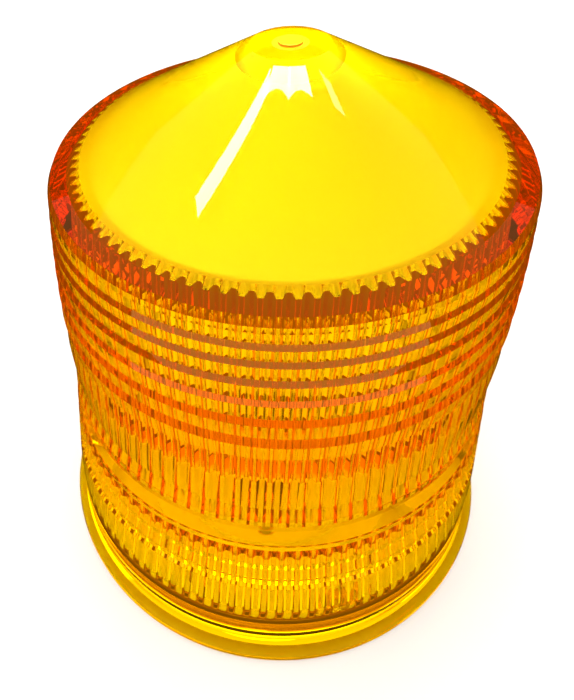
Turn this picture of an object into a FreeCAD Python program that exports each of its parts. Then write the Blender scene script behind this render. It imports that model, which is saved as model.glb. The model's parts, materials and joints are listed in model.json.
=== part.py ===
import FreeCAD, Part
import math
import os
import re
import Sketcher
from FreeCAD import Placement, Rotation, Vector

# Battery warning beacon for road barricades: a moulded amber lens over a round base that
# carries the battery housing, the circuit board, the LED column and a white top reflector.
# Millimetres, +Z up. The origin is the centre of the lens flange's underside, so the whole
# light stands on the plane z = 0.

os.makedirs("parts", exist_ok=True)
doc = FreeCAD.newDocument("warning_beacon")

# ---------------------------------------------------------------- driving dimensions

DIMENSIONS = {
    # lens, outside: cone, edge, a drum on a gentle arc, a flared skirt and the flange
    "flange_r": 75.0, "lip_z": 2.6, "lip_top_r": 74.2, "lip_top_z": 3.5,
    "slope_foot_r": 73.4, "slope_foot_z": 4.0, "skirt_r": 70.2, "skirt_z": 14.0,
    "flare_r": 68.1, "flare_z": 28.0, "hip_r": 67.0, "hip_z": 34.0, "neck_r": 58.2, "neck_z": 76.5,
    "waist_r": 57.7, "waist_z": 85.0, "belly_r": 54.9, "belly_z": 109.0,
    "shoulder_r": 51.4, "shoulder_z": 127.4, "edge_r": 50.4, "edge_z": 129.0,
    "cone_r": 46.9, "cone_z": 129.6, "apex_r": 7.9, "apex_z": 149.7, "gate_r": 2.4, "gate_high": 0.5,
    # lens, inside: cone roof, straight wall, and the ledges that open it out to the mouth
    "crown_r": 9.4, "crown_z": 145.4, "wall_top_r": 44.6, "wall_top_z": 127.6,
    "seat_z": 8.0, "seat_r": 65.4, "seat_top": 20.0, "mouth_r": 67.3,
    # lens bosses, inserts and screws
    "boss_r": 5.0, "boss_z": 8.5, "boss_top": 24.0, "boss_at": 60.0, "boss_turn": -70.0,
    "web_wide": 5.0, "web_end": 67.0,
    "insert_long": 10.0, "insert_bore": 2.0, "insert_out": 3.1, "press_gap": 0.02,
    "lens_screw_r": 1.95, "lens_screw_top": 17.5, "lens_head_r": 3.8, "lens_head_z": 0.5,
    "socket_r": 1.75, "socket_deep": 1.6,
    # spare length of cutting tools and hidden overlaps, and spare room round moulded-in pieces
    "over": 1.0, "spare": 0.5, "head_gap": 0.3, "slot_long": 7.0, "slot_wide": 0.8, "slot_deep": 0.8,
    # base plate
    "base_r": 66.8, "base_thick": 6.4, "floor_thick": 3.0, "hub_r": 40.0, "rim_r": 54.0,
    "head_recess_r": 4.2, "head_recess_z": 3.2, "lens_hole_r": 2.25,
    "mount_at": 50.0, "mount_turn": -10.0, "mount_boss_r": 7.0, "mount_boss_top": 11.0,
    "mount_bore": 2.55, "mount_out": 4.0, "mount_long": 9.0,
    "gasket_in": 64.2, "mount_spare": 0.4, "pilot_floor": 3.8, "housing_screw_foot": 4.0, "lug_bite": 0.5,
    # battery bay and its door
    "bay_r": 20.4, "pocket_half": 23.5, "pocket_front": -28.6, "pocket_back": 29.0,
    "pocket_deep": 3.2, "door_half": 23.0, "door_front": -28.0, "door_back": 24.2,
    "door_z": 0.4, "door_thick": 2.4, "hinge_y": 26.0, "hinge_z": 1.6, "knuckle_r": 1.35,
    "pin_r": 0.75, "pin_hole": 0.8, "pin_half": 13.5, "door_knuckle_half": 5.6,
    "base_knuckle_in": 6.0, "base_knuckle_out": 14.0,
    "door_screw_y": -24.6, "door_screw_r": 1.5, "door_hole_r": 1.75, "door_screw_top": 6.0,
    "door_head_r": 3.0, "door_head_z": 0.5, "door_head_high": 1.2, "door_insert_out": 3.0,
    "door_slot_long": 8.0, "door_slot_wide": 0.9, "door_slot_deep": 0.6, "seal_gap": 0.2,
    "seal_end": 2.0, "groove_long": 16.0, "groove_wide": 1.2, "groove_deep": 0.8, "groove_y": 6.0,
    "groove_step": 4.0, "plate_r": 17.0, "plate_thick": 0.8,
    # cells and battery housing
    "cell_r": 7.1, "cell_z": 10.2, "cell_long": 49.3, "nub_r": 2.75, "nub_high": 1.0,
    "cell_at": 7.8, "contact_spring_r": 4.4, "contact_wire": 0.35,
    "contact_pitch": 1.8, "contact_high": 5.4, "housing_r": 22.8, "housing_top": 64.0, "roof_thick": 2.4,
    "housing_flange_r": 31.0, "housing_flange_top": 8.8, "housing_screw_at": 27.0,
    "small_screw_r": 1.5, "small_hole_r": 1.6, "small_head_r": 2.8, "small_head_high": 1.8,
    "contact_thick": 1.0, "contact_wide": 9.0, "contact_end": 4.0, "board_screw_bite": 4.5,
    # circuit board
    "board_r": 33.0, "board_z": 70.0, "board_thick": 1.6, "post_r": 3.2, "post_at": 15.5,
    "capacitor_r": 5.0, "capacitor_high": 12.0, "choke_r": 6.0, "choke_core_r": 3.6,
    "choke_lid": 1.2, "winding_gap": 0.1, "choke_high": 6.4, "winding_r": 5.6, "part_x": 21.0, "part_y": 11.0,
    "chip_long": 9.0, "chip_wide": 6.0, "chip_high": 2.0, "chip_y": -25.0, "chip_lift": 0.2,
    "chip_pin_wide": 0.8, "chip_pin_long": 9.0, "chip_pin_thick": 0.5, "chip_pitch": 2.2,
    "resistor_wide": 1.6, "resistor_long": 3.2, "resistor_high": 0.8, "resistor_x": 8.0,
    "resistor_step": 3.4, "resistor_y": -22.0, "eye_r": 2.6, "eye_high": 4.0, "eye_y": -12.0,
    # LED column
    "column_r": 10.0, "column_top": 108.0, "led_board_z": 76.0, "led_board_high": 30.0,
    "led_board_wide": 8.6, "led_board_thick": 1.0, "led_r": 1.9, "led_high": 1.5,
    "led_step": 9.0, "led_first": 82.0,
    # top reflector
    "stem_r": 4.0, "hub_z": 118.0, "reflector_hub_r": 7.0, "reflector_gap": 1.7,
    "reflector_r": 41.0, "reflector_rim_z": 127.6, "reflector_thick": 2.3,
    # mode switch
    "knob_at": 47.5, "knob_turn": 20.0, "pod_r": 10.0, "pod_top": 8.0, "pod_roof": 5.0,
    "knob_recess_r": 8.0, "knob_r": 7.4, "knob_z": 0.5, "knob_high": 3.6, "shaft_r": 2.5,
    "shaft_hole": 2.56, "shaft_top": 12.0, "switch_r": 7.0, "switch_top": 16.0,
    "switch_floor": 12.5, "switch_gap": 0.2, "grip_wide": 2.2, "grip_cut": 2.0,
    "grip_cut_long": 20.0, "grip_cut_wide": 6.0,
    # test button
    "button_turn": 140.0, "button_pod_r": 7.5, "button_recess_r": 4.6, "cap_r": 4.0,
    "cap_z": 0.6, "cap_top": 3.0, "stalk_r": 2.0, "stalk_hole": 2.05, "stalk_top": 9.4,
    "clip_r": 2.9, "clip_z": 8.05, "clip_thick": 0.6, "tact_r": 6.0, "tact_bore": 3.4,
    "tact_roof": 10.8, "tact_top": 14.0, "spring_r": 3.1, "spring_wire": 0.15,
    "spring_pitch": 0.6, "spring_high": 1.6,
    # vent and leads
    "vent_turn": 80.0, "vent_foot": 0.5, "vent_hole": 3.0, "vent_stem": 2.95, "vent_cap_r": 5.0,
    "vent_cap_top": 4.6, "lead_r": 0.9, "lead_end_at": 29.0, "lead_bend_low": 34.0,
    "lead_bend_high": 55.0,
}

# Heights of the slopes between the upright faces outside, top then foot of each slope.
DRUM_STEPS = ((127.4, 126.2), (123.9, 122.8), (120.2, 119.1), (115.9, 114.7), (111.0, 109.9),
              (106.0, 104.4), (100.5, 98.2), (93.9, 88.3))
SKIRT_STEPS = ((74.4, 69.9), (65.2, 60.1), (57.6, 52.5), (48.9, 45.6), (41.0, 40.3))
# Radius and height of the wall's inside corners below its straight stretch.
BORE_CORNERS = ((46.2, 78.0), (51.3, 61.5), (51.5, 57.0), (54.0, 52.0), (54.2, 46.0), (61.0, 33.0))
for name, steps in (("drum", DRUM_STEPS), ("hem", SKIRT_STEPS)):
    for index, (top, foot) in enumerate(steps):
        DIMENSIONS[f"{name}_{index}_top"] = top
        DIMENSIONS[f"{name}_{index}_foot"] = foot
for index, (radius, height) in enumerate(BORE_CORNERS):
    DIMENSIONS[f"bore_{index}_r"] = radius
    DIMENSIONS[f"bore_{index}_z"] = height

sheet = doc.addObject("Spreadsheet::Sheet", "dims")
for line, (alias, size) in enumerate(DIMENSIONS.items(), start=1):
    sheet.set(f"A{line}", alias)
    sheet.set(f"B{line}", str(size))
    sheet.setAlias(f"B{line}", alias)
doc.recompute()

UPRIGHT_SHARE = 0.12
LENGTHS_PER_TURN = 12
MITRED = 1
THIRDS = (0, 120, 240)


def rule(text):
    """An expression for the document: plain names become references to the sheet."""
    return re.sub(r"[a-z][a-z0-9_]*", lambda word: known(word.group(0)), text)


def known(word):
    return f"dims.{word}" if word in DIMENSIONS else word


def number(text):
    """The value of a rule that only adds and subtracts, such as 'base_thick + 1.6'."""
    total = 0.0
    for sign, term in re.findall(r"([+-]?)\s*([a-z0-9_.]+)", text):
        size = DIMENSIONS[term] if term in DIMENSIONS else float(term)
        total += -size if sign == "-" else size
    return total


def bind(thing, **rules):
    """Bind properties to rules; a double underline stands for a dot."""
    for name, text in rules.items():
        thing.setExpression(name.replace("__", "."), rule(text))
    return thing


def place(thing, x="0", y="0", z="0"):
    return bind(thing, Placement__Base__x=x, Placement__Base__y=y, Placement__Base__z=z)


def around(at, turn):
    """Rules for x and y of a point at a radius and an angle about the axis."""
    return f"{at} * cos({turn})", f"{at} * sin({turn})"


# ---------------------------------------------------------------- kinds of piece


def outline(body, name, corners):
    """A closed sketch of straight lines in the XZ plane; each corner is bound to the sheet."""
    plane = [item for item in body.Origin.OriginFeatures if item.Role == "XZ_Plane"][0]
    sketch = body.newObject("Sketcher::SketchObject", name)
    sketch.AttachmentSupport = [(plane, "")]
    sketch.MapMode = "FlatFace"
    spots = [Vector(number(across), number(up), 0) for across, up in corners]
    for start, end in zip(spots, spots[1:] + spots[:1]):
        sketch.addGeometry(Part.LineSegment(start, end))
    for index, spot in enumerate(spots):
        following = (index + 1) % len(spots)
        sketch.addConstraint(Sketcher.Constraint("Coincident", index, 2, following, 1))
        for kind, axis, size, text in (("DistanceX", -2, spot.x, corners[index][0]),
                                       ("DistanceY", -1, spot.y, corners[index][1])):
            if size == 0:
                sketch.addConstraint(Sketcher.Constraint("PointOnObject", index, 1, axis))
                continue
            held = sketch.addConstraint(Sketcher.Constraint(kind, -1, 1, index, 1, size))
            sketch.setExpression(f"Constraints[{held}]", rule(text))
    return sketch


def turned(name, corners, hollow=()):
    """A body turned about the Z axis from an outline, with an optional turned hollow."""
    body = doc.addObject("PartDesign::Body", name)
    sketch = outline(body, name + "_outline", corners)
    solid = body.newObject("PartDesign::Revolution", name + "_turned")
    solid.Profile = sketch
    solid.ReferenceAxis = (sketch, ["V_Axis"])
    solid.Angle = 360
    sketch.Visibility = False
    doc.recompute()
    if hollow:
        full = body.Shape.Volume
        inside = outline(body, name + "_hollow", hollow)
        groove = body.newObject("PartDesign::Groove", name + "_hollowed")
        groove.Profile = inside
        groove.ReferenceAxis = (inside, ["V_Axis"])
        groove.Angle = 360
        body.Tip = groove
        doc.recompute()
        if body.Shape.Volume >= full:
            raise SystemExit(f"{name}: the hollow removed nothing")
    return body


def cylinder(name, radius, high, x="0", y="0", z="0"):
    return place(bind(doc.addObject("Part::Cylinder", name), Radius=radius, Height=high), x, y, z)


def box(name, long, wide, high, x="0", y="0", z="0"):
    solid = bind(doc.addObject("Part::Box", name), Length=long, Width=wide, Height=high)
    return place(solid, x, y, z)


def turned_box(name, long, wide, high, at, turn, z):
    """A box whose length runs outwards from a radius, centred across the radial line."""
    solid = bind(doc.addObject("Part::Box", name), Length=long, Width=wide, Height=high)
    solid.Placement = Placement(Vector(0, 0, 0), Rotation(Vector(0, 0, 1), 0))
    bind(solid, Placement__Rotation__Angle=turn)
    x = f"({at}) * cos({turn}) + ({wide}) / 2 * sin({turn})"
    y = f"({at}) * sin({turn}) - ({wide}) / 2 * cos({turn})"
    return place(solid, x, y, z)


def joined(name, pieces):
    fuse = doc.addObject("Part::MultiFuse", name)
    fuse.Shapes = pieces
    return fuse


def cut(name, base, tools):
    tool = tools[0] if len(tools) == 1 else joined(name + "_tools", tools)
    result = doc.addObject("Part::Cut", name)
    result.Base = base
    result.Tool = tool
    return result


def group(name, pieces):
    """Identical separate solids that share one node."""
    bunch = doc.addObject("Part::Compound", name)
    bunch.Links = pieces
    return bunch


def coil(name, radius, wire, pitch, high, x, y, z):
    """A wound spring of short straight lengths, whose lowest turn is centred on z."""
    steps = round(LENGTHS_PER_TURN * number(high) / number(pitch))
    turn = 2 * math.pi / LENGTHS_PER_TURN
    spots = [Vector(number(radius) * math.cos(turn * step), number(radius) * math.sin(turn * step),
                    number(high) * step / steps) for step in range(steps + 1)]
    ring = Part.Wire([Part.Circle(spots[0], spots[1] - spots[0], number(wire)).toShape()])
    spring = doc.addObject("Part::Feature", name)
    spring.Shape = Part.makePolygon(spots).makePipeShell([ring], True, True, MITRED)
    return place(spring, x, y, z)


NODES = []


def node(thing, label):
    """Names a finished sub-part; its label is the name of its file."""
    thing.Label = label
    NODES.append(thing)
    return thing


# ---------------------------------------------------------------- lens


def drum_radius(height):
    """Radius at a height on the arc through the shoulder, the belly and the waist."""
    low, middle, high = [Vector(DIMENSIONS[key + "_r"], DIMENSIONS[key + "_z"], 0)
                         for key in ("waist", "belly", "shoulder")]
    circle = Part.Circle(low, middle, high)
    return circle.Center.x + math.sqrt(circle.Radius ** 2 - (height - circle.Center.y) ** 2)


def skirt_radius(height):
    """Radius at a height on the straight flare from the neck to the hip."""
    share = (height - DIMENSIONS["hip_z"]) / (DIMENSIONS["neck_z"] - DIMENSIONS["hip_z"])
    return DIMENSIONS["hip_r"] + share * (DIMENSIONS["neck_r"] - DIMENSIONS["hip_r"])


def stepped(name, steps, side):
    """Corners of nearly upright faces and the slopes between them, from the top down."""
    corners = []
    held = side(steps[0][0])
    for index, (_, foot) in enumerate(steps):
        grown = side(foot) - held
        corners.append((f"{held + UPRIGHT_SHARE * grown:.3f}", f"{name}_{index}_top"))
        corners.append((f"{side(foot):.3f}", f"{name}_{index}_foot"))
        held = side(foot)
    return corners


lens_outside = [("0", "0"), ("flange_r", "0"), ("flange_r", "lip_z"), ("lip_top_r", "lip_top_z"),
                ("slope_foot_r", "slope_foot_z"), ("skirt_r", "skirt_z"), ("flare_r", "flare_z"),
                ("hip_r", "hip_z")]
lens_outside += stepped("hem", SKIRT_STEPS, skirt_radius)[::-1]
lens_outside += [("neck_r", "neck_z"), ("waist_r", "waist_z")]
lens_outside += stepped("drum", DRUM_STEPS, drum_radius)[::-1]
lens_outside += [("edge_r", "edge_z"), ("cone_r", "cone_z"), ("apex_r", "apex_z"),
                 ("gate_r", "apex_z"), ("gate_r", "apex_z + gate_high"), ("0", "apex_z + gate_high")]
lens_inside = [("0", "0"), ("0", "crown_z"), ("crown_r", "crown_z"), ("wall_top_r", "wall_top_z")]
lens_inside += [(f"bore_{index}_r", f"bore_{index}_z") for index in range(len(BORE_CORNERS))]
lens_inside += [("seat_r", "seat_top"), ("seat_r", "seat_z"), ("mouth_r", "seat_z"), ("mouth_r", "0")]
lens_shell = turned("lens_shell", lens_outside, lens_inside)

LENS_TURNS = [f"(boss_turn + {step})" for step in THIRDS]
bosses, insert_holes, lens_inserts, lens_screws, screw_holes = [], [], [], [], []
for index, turn in enumerate(LENS_TURNS):
    x, y = around("boss_at", turn)
    bosses.append(cylinder(f"boss_{index}", "boss_r", "boss_top - boss_z", x, y, "boss_z"))
    bosses.append(turned_box(f"web_{index}", "web_end - boss_at", "web_wide", "boss_top - boss_z",
                             "boss_at", turn, "boss_z"))
    insert_holes.append(cylinder(f"insert_hole_{index}", "insert_out + press_gap",
                                 "insert_long + 2 * spare", x, y, "boss_z - spare"))
    sleeve = cylinder(f"insert_sleeve_{index}", "insert_out", "insert_long", x, y, "boss_z")
    sleeve_bore = cylinder(f"insert_bore_{index}", "insert_bore", "insert_long + 2 * over", x, y,
                           "boss_z - over")
    lens_inserts.append(cut(f"insert_{index}", sleeve, [sleeve_bore]))
    shank = cylinder(f"lens_shank_{index}", "lens_screw_r", "lens_screw_top - lens_head_z", x, y,
                     "lens_head_z")
    head = cylinder(f"lens_head_{index}", "lens_head_r", "head_recess_z - lens_head_z", x, y,
                    "lens_head_z")
    socket = bind(doc.addObject("Part::Prism", f"lens_socket_{index}"), Circumradius="socket_r",
                  Height="socket_deep + over")
    place(socket, x, y, "lens_head_z - over")
    lens_screws.append(cut(f"lens_screw_{index}", joined(f"lens_screw_{index}_blank", [shank, head]),
                           [socket]))
    screw_holes.append(cylinder(f"head_recess_{index}", "head_recess_r", "head_recess_z + over", x, y,
                                 "-over"))
    screw_holes.append(cylinder(f"lens_hole_{index}", "lens_hole_r", "base_thick + over", x, y, "0"))

lens_blank = joined("lens_blank", [lens_shell] + bosses)
node(cut("lens_body", lens_blank, insert_holes), "lens")
node(group("lens_insert_group", lens_inserts), "lens_inserts")
node(group("lens_screw_group", lens_screws), "lens_screws")
node(turned("gasket_ring", [("gasket_in", "base_thick"), ("base_r", "base_thick"),
                            ("base_r", "seat_z"), ("gasket_in", "seat_z")]), "lens_gasket")

# ---------------------------------------------------------------- base plate

base_blank = turned("base_blank", [
    ("bay_r", "0"), ("base_r", "0"), ("base_r", "base_thick"), ("rim_r", "base_thick"),
    ("rim_r", "floor_thick"), ("hub_r", "floor_thick"), ("hub_r", "base_thick"),
    ("bay_r", "base_thick")])
raised = [base_blank]
removed = list(screw_holes)

mount_inserts = []
for index, step in enumerate(THIRDS):
    turn = f"(mount_turn + {step})"
    x, y = around("mount_at", turn)
    raised.append(cylinder(f"mount_boss_{index}", "mount_boss_r", "mount_boss_top - over", x, y, "over"))
    removed.append(cylinder(f"mount_hole_{index}", "mount_out + press_gap", "mount_long + mount_spare + over",
                            x, y, "-over"))
    sleeve = cylinder(f"mount_sleeve_{index}", "mount_out", "mount_long", x, y, "0")
    sleeve_bore = cylinder(f"mount_bore_{index}", "mount_bore", "mount_long + 2 * over", x, y, "-over")
    mount_inserts.append(cut(f"mount_insert_{index}", sleeve, [sleeve_bore]))

knob_x, knob_y = around("knob_at", "knob_turn")
raised.append(cylinder("knob_pod", "pod_r", "pod_top - over", knob_x, knob_y, "over"))
removed.append(cylinder("knob_recess", "knob_recess_r", "pod_roof + over", knob_x, knob_y, "-over"))
removed.append(cylinder("shaft_hole", "shaft_hole", "pod_top + over", knob_x, knob_y, "0"))
button_x, button_y = around("knob_at", "button_turn")
raised.append(cylinder("button_pod", "button_pod_r", "pod_top - over", button_x, button_y, "over"))
removed.append(cylinder("button_recess", "button_recess_r", "pod_roof + over", button_x, button_y,
                        "-over"))
removed.append(cylinder("stalk_hole", "stalk_hole", "pod_top + over", button_x, button_y, "0"))
vent_x, vent_y = around("knob_at", "vent_turn")
removed.append(cylinder("vent_hole", "vent_hole", "base_thick", vent_x, vent_y, "-over"))

removed.append(box("door_pocket", "2 * pocket_half", "pocket_back - pocket_front", "pocket_deep + over",
                   "-pocket_half", "pocket_front", "-over"))
removed.append(cylinder("door_insert_hole", "door_insert_out + press_gap", "base_thick", "0",
                        "door_screw_y", "pocket_deep - over"))
housing_screws = []
housing_holes = []
for index in range(4):
    x, y = around("housing_screw_at", f"{45 + 90 * index}")
    removed.append(cylinder(f"housing_pilot_{index}", "small_hole_r", "base_thick - pilot_floor", x, y,
                            "pilot_floor"))
    housing_holes.append(cylinder(f"housing_hole_{index}", "small_hole_r",
                                  "housing_flange_top - base_thick + 2 * over", x, y, "base_thick - over"))
    shank = cylinder(f"housing_shank_{index}", "small_screw_r", "housing_flange_top - housing_screw_foot",
                     x, y, "housing_screw_foot")
    head = cylinder(f"housing_head_{index}", "small_head_r", "small_head_high", x, y,
                    "housing_flange_top")
    slot = box(f"housing_slot_{index}", "slot_long", "slot_wide", "slot_deep + over", f"{x} - slot_long / 2",
               f"{y} - slot_wide / 2", "housing_flange_top + small_head_high - slot_deep")
    housing_screws.append(cut(f"housing_screw_{index}", joined(f"housing_screw_{index}_blank",
                                                              [shank, head]), [slot]))


def knuckle(name, radius, start, long, grown="0"):
    """A barrel along the hinge axis."""
    barrel = bind(doc.addObject("Part::Cylinder", name), Radius=radius, Height=f"{long} + {grown}")
    barrel.Placement = Placement(Vector(0, 0, 0), Rotation(Vector(0, 1, 0), 90))
    return place(barrel, start, "hinge_y", "hinge_z")


base_cut = cut("base_cut", joined("base_raised", raised), removed)
base_knuckles = []
for index, start in enumerate(("-base_knuckle_out", "base_knuckle_in")):
    base_knuckles.append(knuckle(f"base_knuckle_{index}", "knuckle_r", start,
                                 "(base_knuckle_out - base_knuckle_in)"))
    base_knuckles.append(box(f"base_lug_{index}", "base_knuckle_out - base_knuckle_in",
                             "pocket_back - hinge_y + lug_bite", "pocket_deep - hinge_z + lug_bite", start,
                             "hinge_y", "hinge_z"))
base_pin_hole = knuckle("base_pin_hole", "pin_hole", "-pin_half - over", "(2 * pin_half)", "2 * over")
base_with_lugs = joined("base_with_lugs", [base_cut] + base_knuckles)
node(cut("base_body", base_with_lugs, [base_pin_hole]), "base_plate")
node(group("mount_insert_group", mount_inserts), "mount_inserts")
node(group("housing_screw_group", housing_screws), "housing_screws")

vent_parts = [cylinder("vent_stem", "vent_stem", "floor_thick", vent_x, vent_y, "vent_foot"),
              cylinder("vent_cap", "vent_cap_r", "vent_cap_top - floor_thick", vent_x, vent_y,
                       "floor_thick")]
node(joined("vent_body", vent_parts), "vent_plug")

# ---------------------------------------------------------------- battery door

door_panel = box("door_panel", "2 * door_half", "door_back - door_front", "door_thick",
                 "-door_half", "door_front", "door_z")
door_arm = box("door_arm", "2 * door_knuckle_half", "hinge_y - door_back + over", "door_thick",
               "-door_knuckle_half", "door_back - over", "door_z")
door_knuckle = knuckle("door_knuckle", "knuckle_r", "-door_knuckle_half", "(2 * door_knuckle_half)")
door_tools = [knuckle("door_pin_hole", "pin_hole", "-door_knuckle_half - over",
                      "(2 * door_knuckle_half)", "2 * over"),
              cylinder("door_screw_hole", "small_hole_r", "door_thick + 2 * over", "0", "door_screw_y",
                       "door_z - over"),
              cylinder("door_head_recess", "door_head_r + head_gap", "door_head_high + over", "0",
                       "door_screw_y", "door_head_z - over")]
door_tools += [box(f"door_grip_{index}", "groove_long", "groove_wide", "groove_deep + over",
                   "-groove_long / 2", f"groove_y + {index} * groove_step", "door_z - over")
               for index in range(2)]
node(cut("door_body", joined("door_blank", [door_panel, door_arm, door_knuckle]), door_tools),
     "battery_door")
node(knuckle("hinge_pin_body", "pin_r", "-pin_half", "(2 * pin_half)"), "door_hinge_pin")

door_shank = cylinder("door_shank", "door_screw_r", "door_screw_top - door_head_z", "0",
                      "door_screw_y", "door_head_z")
door_head = cylinder("door_head", "door_head_r", "door_head_high", "0", "door_screw_y",
                     "door_head_z")
door_slot = box("door_slot", "door_slot_long", "door_slot_wide", "door_slot_deep + over", "-door_slot_long / 2",
                "door_screw_y - door_slot_wide / 2", "door_head_z - over")
node(cut("door_screw_body", joined("door_screw_blank", [door_shank, door_head]), [door_slot]),
     "door_screw")
door_sleeve = cylinder("door_sleeve", "door_insert_out", "base_thick - pocket_deep", "0",
                       "door_screw_y", "pocket_deep")
door_sleeve_bore = cylinder("door_sleeve_bore", "door_hole_r", "base_thick", "0", "door_screw_y",
                            "pocket_deep - over")
node(cut("door_insert_body", door_sleeve, [door_sleeve_bore]), "door_insert")

seal_outer = box("seal_outer", "2 * (door_half - seal_gap)", "2 * (door_half - seal_end)",
                 "pocket_deep - door_z - door_thick", "seal_gap - door_half", "seal_end - door_half",
                 "door_z + door_thick")
seal_inner = cylinder("seal_inner", "bay_r", "pocket_deep + over", "0", "0", "0")
node(cut("door_seal_body", seal_outer, [seal_inner]), "door_seal")
node(cylinder("door_plate", "plate_r", "plate_thick", "0", "0", "door_z + door_thick"),
     "door_contact_plate")

# ---------------------------------------------------------------- cells and housing

CELL_SPOTS = [(1, 1), (-1, 1), (-1, -1), (1, -1)]
cells, springs = [], []
for index, (right, back) in enumerate(CELL_SPOTS):
    x, y = f"{right} * cell_at", f"{back} * cell_at"
    upright = right * back > 0
    can_z = "cell_z" if upright else "cell_z + nub_high"
    nub_z = "cell_z + cell_long" if upright else "cell_z"
    can = cylinder(f"can_{index}", "cell_r", "cell_long", x, y, can_z)
    nub = cylinder(f"nub_{index}", "nub_r", "nub_high", x, y, nub_z)
    cells.append(joined(f"cell_{index}", [can, nub]))
    springs.append(coil(f"contact_spring_{index}", "contact_spring_r", "contact_wire",
                        "contact_pitch", "contact_high", x, y,
                        "door_z + door_thick + plate_thick + contact_wire"))
node(group("cell_group", cells), "battery_cells")
node(group("spring_group", springs), "contact_springs")

strips = [box(f"strip_{index}", "2 * (cell_at + contact_end)", "contact_wide", "contact_thick",
              "-cell_at - contact_end", f"{side} * cell_at - contact_wide / 2",
              "housing_top - roof_thick - contact_thick") for index, side in enumerate((-1, 1))]
node(group("strip_group", strips), "upper_contacts")

housing_shell = turned("housing_shell", [
    ("bay_r", "base_thick"), ("housing_flange_r", "base_thick"),
    ("housing_flange_r", "housing_flange_top"), ("housing_r", "housing_flange_top"),
    ("housing_r", "housing_top"), ("0", "housing_top"), ("0", "housing_top - roof_thick"),
    ("bay_r", "housing_top - roof_thick")])
node(cut("housing_body", housing_shell, housing_holes + [
    cylinder("door_screw_room", "door_insert_out + head_gap", "housing_flange_top - base_thick + 2 * over",
             "0", "door_screw_y", "base_thick - over")]),
    "battery_housing")

# ---------------------------------------------------------------- circuit board

board_tools, posts, board_screws = [], [], []
for index in range(3):
    x, y = around("post_at", f"{90 + 120 * index}")
    board_tools.append(cylinder(f"board_hole_{index}", "small_hole_r", "board_thick + 2 * over", x, y,
                                "board_z - over"))
    post = cylinder(f"post_{index}", "post_r", "board_z - housing_top", x, y, "housing_top")
    post_bore = cylinder(f"post_bore_{index}", "small_hole_r", "board_z - housing_top + 2 * over", x, y,
                         "housing_top - over")
    posts.append(cut(f"board_post_{index}", post, [post_bore]))
    shank = cylinder(f"board_shank_{index}", "small_screw_r", "board_thick + board_screw_bite", x, y,
                     "board_z - board_screw_bite")
    head = cylinder(f"board_head_{index}", "small_head_r", "small_head_high", x, y,
                    "board_z + board_thick")
    slot = box(f"board_slot_{index}", "slot_long", "slot_wide", "slot_deep + over", f"{x} - slot_long / 2",
               f"{y} - slot_wide / 2", "board_z + board_thick + small_head_high - slot_deep")
    board_screws.append(cut(f"board_screw_{index}", joined(f"board_screw_{index}_blank",
                                                          [shank, head]), [slot]))
board_disc = cylinder("board_disc", "board_r", "board_thick", "0", "0", "board_z")
node(cut("board_body", board_disc, board_tools), "circuit_board")
node(group("post_group", posts), "board_posts")
node(group("board_screw_group", board_screws), "board_screws")

BOARD_TOP = "board_z + board_thick"
node(cylinder("capacitor_can", "capacitor_r", "capacitor_high", "part_x", "part_y", BOARD_TOP),
     "capacitor")
choke_parts = [cylinder("choke_foot", "choke_r", "choke_lid", "-part_x", "part_y", BOARD_TOP),
               cylinder("choke_bobbin", "choke_core_r", "choke_high", "-part_x", "part_y", BOARD_TOP),
               cylinder("choke_cap", "choke_r", "choke_lid", "-part_x", "part_y",
                        BOARD_TOP + " + choke_high - choke_lid")]
node(joined("choke_body", choke_parts), "choke_core")
WINDING_FOOT = BOARD_TOP + " + choke_lid"
WINDING_TOP = BOARD_TOP + " + choke_high - choke_lid"
node(turned("winding_ring", [
    ("choke_core_r + winding_gap", WINDING_FOOT), ("winding_r", WINDING_FOOT),
    ("winding_r", WINDING_TOP), ("choke_core_r + winding_gap", WINDING_TOP)]),
     "choke_winding")
place(NODES[-1], "-part_x", "part_y", "0")
chip_parts = [box("chip_case", "chip_long", "chip_wide", "chip_high", "-chip_long / 2", "chip_y",
                  BOARD_TOP + " + chip_lift")]
for pin in range(4):
    chip_parts.append(box(f"chip_pin_{pin}", "chip_pin_wide", "chip_pin_long", "chip_pin_thick",
                          f"{pin - 1.5} * chip_pitch - chip_pin_wide / 2",
                          "chip_y - (chip_pin_long - chip_wide) / 2", BOARD_TOP))
node(joined("chip_body", chip_parts), "driver_chip")
resistors = [box(f"resistor_{index}", "resistor_wide", "resistor_long", "resistor_high",
                 f"resistor_x + {index} * resistor_step", "resistor_y", BOARD_TOP) for index in range(4)]
node(group("resistor_group", resistors), "resistors")
eye_parts = [cylinder("eye_can", "eye_r", "eye_high", "-part_x", "eye_y", BOARD_TOP),
             bind(doc.addObject("Part::Sphere", "eye_dome"), Radius="eye_r")]
place(eye_parts[1], "-part_x", "eye_y", BOARD_TOP + " + eye_high")
node(joined("eye_body", eye_parts), "photocell")

# ---------------------------------------------------------------- LED column

column = bind(doc.addObject("Part::Prism", "column_body"), Circumradius="column_r",
              Height="column_top - board_z - board_thick")
node(place(column, "0", "0", BOARD_TOP), "led_column")
led_boards, leds = [], []
flat = "column_r * cos(30)"
for side in range(6):
    turn = f"{30 + 60 * side}"
    led_boards.append(turned_box(f"led_board_{side}", "led_board_thick", "led_board_wide",
                                 "led_board_high", flat, turn, "led_board_z"))
    for level in range(3):
        led = bind(doc.addObject("Part::Cylinder", f"led_{side}_{level}"), Radius="led_r",
                   Height="led_high")
        led.Placement = Placement(Vector(0, 0, 0), Rotation(Vector(0, 0, 1), 30 + 60 * side)
                                  .multiply(Rotation(Vector(0, 1, 0), 90)))
        place(led, f"({flat} + led_board_thick) * cos({turn})",
              f"({flat} + led_board_thick) * sin({turn})", f"led_first + {level} * led_step")
        leds.append(led)
node(group("led_board_group", led_boards), "led_boards")
node(group("led_group", leds), "leds")

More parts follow.
